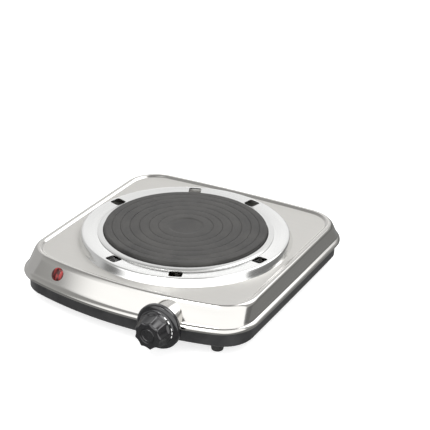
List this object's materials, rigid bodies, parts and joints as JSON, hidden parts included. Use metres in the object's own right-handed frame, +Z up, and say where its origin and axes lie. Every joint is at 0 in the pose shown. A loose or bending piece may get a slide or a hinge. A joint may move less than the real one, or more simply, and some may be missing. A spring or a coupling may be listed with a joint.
{
  "type": "hot plate burner",
  "caption": "Electric hot plate: bowed brushed steel casing on a black base with rubber feet, round cast iron plate in a steel ring, front thermostat knob and red lamp.",
  "frame": {"origin": "middle of the whole appliance's footprint, knob included, on the plane under the rubber feet", "axes": "+Z up, +X to the right seen from the front, the knob looks along -Y"},
  "size_m": [0.24, 0.2832, 0.056],
  "materials": {
    "casing_steel": "satin",
    "ring_steel": "polished",
    "cast_iron": "matte",
    "base_paint": "satin",
    "foot_rubber": "matte",
    "zinc_steel": "zinc plated",
    "sheath_steel": "oxidised",
    "ceramic": "matte",
    "shield_aluminium": "bright",
    "brass": "satin",
    "spring_steel": "satin",
    "knob_plastic": "gloss",
    "lens_red": "gloss",
    "lamp_plastic": "satin",
    "bulb_glass": "clear",
    "black_plastic": "matte",
    "lead_brown": "satin",
    "lead_blue": "satin",
    "lead_green": "satin"
  },
  "bodies": {
    "housing": {"top_casing": "casing_steel", "base_pan": "base_paint", "rubber_feet": "foot_rubber", "foot_screws": "zinc_steel", "foot_nuts": "zinc_steel", "casing_posts": "zinc_steel", "base_screws": "zinc_steel", "burner_ring": "ring_steel", "plate_rim": "ring_steel", "hot_plate": "cast_iron", "heating_element": "sheath_steel", "ceramic_fill": "ceramic", "plate_cover": "zinc_steel", "ceramic_beads": "ceramic", "element_clamps": "brass", "cross_bar": "zinc_steel", "plate_stud": "zinc_steel", "plate_washer": "zinc_steel", "plate_nut": "zinc_steel", "heat_shield": "shield_aluminium", "shield_spacers": "zinc_steel", "shield_screws": "zinc_steel", "shield_nuts": "zinc_steel", "thermostat_bracket": "zinc_steel", "bracket_screws": "zinc_steel", "spindle_bush": "brass", "bush_nut": "brass", "thermostat_block": "ceramic", "stack_spacers": "ceramic", "stack_screw": "zinc_steel", "fixed_contact": "spring_steel", "thermostat_tabs": "brass", "lamp_lens": "lens_red", "lamp_holder": "lamp_plastic", "neon_bulb": "bulb_glass", "lamp_clip": "spring_steel", "cord_gland": "black_plastic", "terminal_block": "ceramic", "terminal_screws": "brass", "block_screw": "zinc_steel", "thermal_fuse": "zinc_steel", "fuse_clip": "zinc_steel", "fuse_screw": "zinc_steel", "earth_screw": "brass", "earth_nut": "brass", "earth_lug": "brass", "supply_lead": "lead_brown", "fuse_lead": "lead_brown", "heater_lead": "lead_brown", "neutral_lead": "lead_blue", "earth_lead": "lead_green"},
    "knob": {"knob": "knob_plastic", "knob_clip": "spring_steel", "spindle": "zinc_steel"},
    "push_pin": {"push_pin": "ceramic"},
    "contact_arm": {"contact_arm": "spring_steel"}
  },
  "joints": [
    {"name": "knob_turn", "type": "hinge", "parent": "housing", "child": "knob", "pos_m": [0.0484, -0.1196, 0.0285], "axis": [0, 1, 0], "range_deg": [0, 300]},
    {"name": "pin_slide", "type": "slide", "parent": "housing", "child": "push_pin", "axis": [0, 1, 0], "range_m": [0, 0.00125]},
    {"name": "arm_flex", "type": "hinge", "parent": "housing", "child": "contact_arm", "pos_m": [0.0484, -0.0801, 0.0165], "axis": [-1, 0, 0], "range_deg": [0, 6]}
  ],
  "couplings": [
    {"joint": "pin_slide", "follows": "knob_turn", "m_per_rad": 0.00022918},
    {"joint": "arm_flex", "follows": "knob_turn", "ratio": 0.019194}
  ]
}
